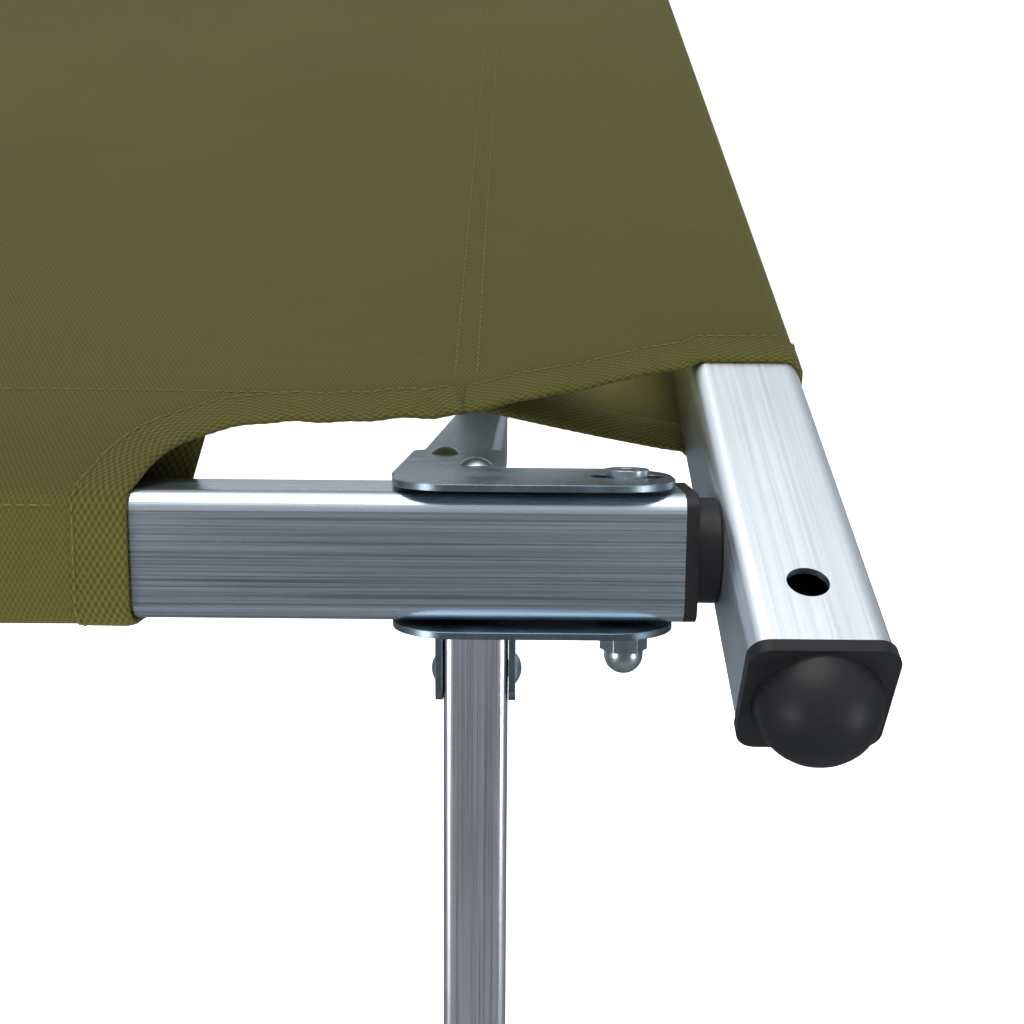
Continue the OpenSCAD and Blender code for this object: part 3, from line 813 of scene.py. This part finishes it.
bed_tapes, bed_rows = [], []
corner_line = bed_edge()
for end in (-1, 1):
    for side in (-1, 1):
        def place(u, v, e=end, s=side):
            return bed_point(e * u, v, s)
        bed_tapes.append(tape_on(f"tape_{end}_{side}", corner_line, place))
        bed_rows.append((offset_line(corner_line[:-UNTAPED], TAPE_ROW), place, TAPE_LIFT, end * side))
for side in (-1, 1):
    past = [MID_MOUTHS[0] + d for d in MID_STEPS + list(range(34, int(MID_GAP) - 28, 6))]
    past += [MID_MOUTHS[1] - d for d in reversed(MID_STEPS)]
    down = [WRAP_L * i / MOUTH_STEPS for i in range(MOUTH_STEPS + 1)]
    line = [(MID_MOUTHS[0], s) for s in reversed(down)]
    line += [(x, CREST_H - cut_edge(x)) for x in past]
    line += [(MID_MOUTHS[1], s) for s in down]

    def place(u, v, s=side):
        return bed_point(u, v, s)
    bed_tapes.append(tape_on(f"tape_mid_{side}", line, place))
    bed_rows.append((offset_line(line[UNTAPED:-UNTAPED], TAPE_ROW), place, TAPE_LIFT, side))
    for x0, x1, s in ((-END_SEAM_X + SEAM_END, END_SEAM_X - SEAM_END, CREST_H - SEAM_H),
                      (-SIDE_MOUTH + MOUTH_END, MID_MOUTHS[0] - MOUTH_END, SLEEVE_ROW),
                      (MID_MOUTHS[1] + MOUTH_END, SIDE_MOUTH - MOUTH_END, SLEEVE_ROW)):
        bed_rows.append((line_x(x0, x1, s), place, CLOTH_LIFT, side))
    for end in (-1, 1):
        x = END_SEAM_X - END_ROW
        across = [(end * x, -HALF_W + HALF_W * i / 60) for i in range(61)]
        edge = CREST_H - cut_edge(x) - TAPE_W
        bed_rows.append(([p for p in across if p[1] < edge], place, CLOTH_LIFT, side))

bed_tape = joined("bed_tapes", bed_tapes)
bed_stitch = stitches("bed_stitches", bed_rows)


def end_edge_place(end, side):
    """A function that gives the point on an end sleeve u mm round its loop and v mm inside its
    edge, and the loop's length."""
    lengths = [0.0]
    for k in range(1, len(END)):
        lengths.append(lengths[-1] + (end_point(k, side, 1) - end_point(k - 1, side, 1)).length / MM)

    def place(u, v):
        u = clamp(u, 0, lengths[-1] - 1e-4)
        k = next(i for i in range(len(lengths) - 1) if lengths[i + 1] > u)
        f = (u - lengths[k]) / (lengths[k + 1] - lengths[k])
        out = []
        for q in (k, k + 1):
            edge = end_point(q, side, end)
            half = abs(edge.y) / MM
            out.append(end_point(q, side * (half - v) / half, end))
        return out[0].lerp(out[1], f)
    return place, lengths[-1]


END_TAPE_STEPS = 130

end_tapes, end_stitches = {}, {}
for label, end in (("head", 1), ("foot", -1)):
    tapes, rows = [], []
    for side in (-1, 1):
        place, total = end_edge_place(end, side)
        line = [(total * i / END_TAPE_STEPS, 0.0) for i in range(END_TAPE_STEPS + 1)]
        tapes.append(tape_on(f"end_tape_{label}_{side}", line, place))
        rows.append(([(u, TAPE_ROW) for u, _ in line], place, TAPE_LIFT, -end * side))
        rows.append(([(END_ROW, v) for v in range(16, 290, 4)], place, CLOTH_LIFT, -end * side))
    end_tapes[label] = joined(f"{label}_tapes", tapes)
    end_stitches[label] = stitches(f"{label}_stitches", rows)

# ---------------------------------------------------------------- riding

for o in (bed, bed_tape, bed_stitch):
    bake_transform(o)
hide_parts("bed_panel", "near_side_sleeves", "far_side_sleeves")
for label, end, cloth, area in (("head", 1, head, head_area), ("foot", -1, foot, foot_area)):
    for o in (cloth, end_tapes[label], end_stitches[label]):
        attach(o, f"end_bar_{label}")
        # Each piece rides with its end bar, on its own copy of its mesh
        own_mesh(o)
    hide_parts(f"{label}_sleeve")
    2 * (RAIL_Y - cut_edge(END_SEAM_X)) * MM

# ---------------------------------------------------------------- stage, light and camera

floor_material, t, p = new_material("floor")
tone = noise(t, position(t), 1.3, 3.0)
t.links.new(ramp(t, tone, [(0.3, (0.88, 0.885, 0.89)), (0.7, (0.92, 0.922, 0.925))]),
            p.inputs["Base Color"])
p.inputs["Roughness"].default_value = 0.9
p.inputs["Specular IOR Level"].default_value = 0.1
# The floor glows white beyond the bed, more the farther out: painted light, as the floor is no lamp
p.inputs["Emission Color"].default_value = (1, 1, 1, 1)
t.links.new(remap(t, dot(t, position(t), Y), 0.8, 3.0, 0, 0.6), p.inputs["Emission Strength"])
# In reflections the floor is painted dark under the bed, a painted shadow of the bed, and paler beyond it
painted_shadow_floor = t.nodes.new("ShaderNodeBsdfDiffuse")
away = t.nodes.new("ShaderNodeSeparateXYZ")
t.links.new(position(t), away.inputs[0])
t.links.new(ramp(t, remap(t, away.outputs[1], -0.6, 0.7, 0, 1),
                 [(0.0, (0.16, 0.17, 0.18)), (0.25, (0.093, 0.105, 0.115)), (0.5, (0.062, 0.07, 0.077)),
                  (0.62, (0.075, 0.083, 0.09)), (1.0, (0.48, 0.50, 0.53))]), painted_shadow_floor.inputs["Color"])
choice = t.nodes.new("ShaderNodeMixShader")
t.links.new(t.nodes.new("ShaderNodeLightPath").outputs["Is Glossy Ray"], choice.inputs[0])
t.links.new(p.outputs[0], choice.inputs[1])
t.links.new(painted_shadow_floor.outputs[0], choice.inputs[2])
t.links.new(choice.outputs[0], t.nodes["Material Output"].inputs[0])
FLOOR = 6.0                   # half its width
floor = mesh_object("floor", [(x * FLOOR, y * FLOOR, 0) for x, y in ((-1, -1), (1, -1), (1, 1), (-1, 1))],
                    [(0, 1, 2, 3)], None, floor_material)
floor.location.z = -0.0005    # just under the feet

scene = bpy.context.scene
studio = bpy.data.worlds.new("studio")
scene.world = studio
studio.use_nodes = True
t = studio.node_tree
background = t.nodes["Background"]
heading = t.nodes.new("ShaderNodeTexCoord").outputs["Generated"]
parts = t.nodes.new("ShaderNodeSeparateXYZ")
t.links.new(heading, parts.inputs[0])
sky = ramp(t, remap(t, parts.outputs[2], -0.2, 1.0, 0, 1),
           [(0.0, (0.55, 0.57, 0.60)), (0.35, (0.42, 0.45, 0.50)), (0.62, (0.85, 0.87, 0.90)),
            (1.0, (1, 1, 1))])
# Darker behind the camera, and to the camera itself a plain white
shade = remap(t, parts.outputs[1], -0.95, -0.25, 0.31, 1.0)
lit = mix_colour(t, 1.0, sky, combine(t, shade, shade, shade), "MULTIPLY")
seen = t.nodes.new("ShaderNodeLightPath").outputs["Is Camera Ray"]
t.links.new(mix_colour(t, seen, lit, (1.1, 1.11, 1.12)), background.inputs["Color"])
background.inputs["Strength"].default_value = 0.85


def soft_light(name, place, target, size, power):
    """A round area light at place, turned to target."""
    data = bpy.data.lights.new(name, "AREA")
    data.shape, data.size, data.energy = "DISK", size, power
    o = bpy.data.objects.new(name, data)
    o.location = place
    o.rotation_euler = (Vector(target) - Vector(place)).to_track_quat("-Z", "Y").to_euler()
    scene.collection.objects.link(o)
    return o


soft_light("top_softbox", (0.5, 0.3, 2.3), (0.7, 0, 0.3), 2.2, 34)
soft_light("left_fill", (-1.6, -2.2, 0.6), (0.7, -0.2, 0.2), 1.2, 24)
soft_light("right_fill", (3.3, -2.0, 0.6), (0.8, -0.2, 0.2), 1.2, 20)
under = soft_light("under_fill", (0.35, 0.0, 0.16), (0.35, 0.0, 0.0), 1.5, 5)
under.data.shape, under.data.size_y = "RECTANGLE", 0.5
front = soft_light("front_fill", (1.0, -2.2, 0.75), (0.85, -0.2, 0.35), 1.4, 32)
# Light that comes through the cloth into each sleeve's open end
inside = [soft_light(f"sleeve_fill_{i}", (x, y, 0.368), (x, y, 0), 0.045, 0.03)
          for i, (x, y) in enumerate((sx * 0.893, sy * 0.22) for sx in (-1, 1) for sy in (-1, 1))]
for o in inside:
    o.data.shape, o.data.size_y = "RECTANGLE", 0.07
    o.rotation_euler = (0, 0, 0)
for o in (under, front, *inside):
    o.visible_camera = o.visible_glossy = False

# The camera, fitted to the photo: place in mm, then degrees down, to the left and round its own axis
CAM_AT = Vector((872.409, -540.295, 534.963)) * MM
CAM_PITCH, CAM_YAW, CAM_ROLL = (math.radians(a) for a in (38.102, 0.239, 0.335))
forward = Vector((-math.sin(CAM_YAW) * math.cos(CAM_PITCH), math.cos(CAM_YAW) * math.cos(CAM_PITCH),
                  -math.sin(CAM_PITCH)))
right = Vector((math.cos(CAM_YAW), math.sin(CAM_YAW), 0))
upward = right.cross(forward)
right_r = right * math.cos(CAM_ROLL) + upward * math.sin(CAM_ROLL)
up_r = upward * math.cos(CAM_ROLL) - right * math.sin(CAM_ROLL)
camera_data = bpy.data.cameras.new("camera")
camera_data.sensor_width, camera_data.lens = 36.0, 41.19
camera_data.clip_start, camera_data.clip_end = 0.01, 50
camera = bpy.data.objects.new("camera", camera_data)
turn = Matrix((right_r, up_r, -forward)).transposed().to_4x4()
camera.matrix_world = Matrix.Translation(CAM_AT) @ turn
scene.collection.objects.link(camera)
scene.camera = camera
scene.view_settings.view_transform = "Standard"
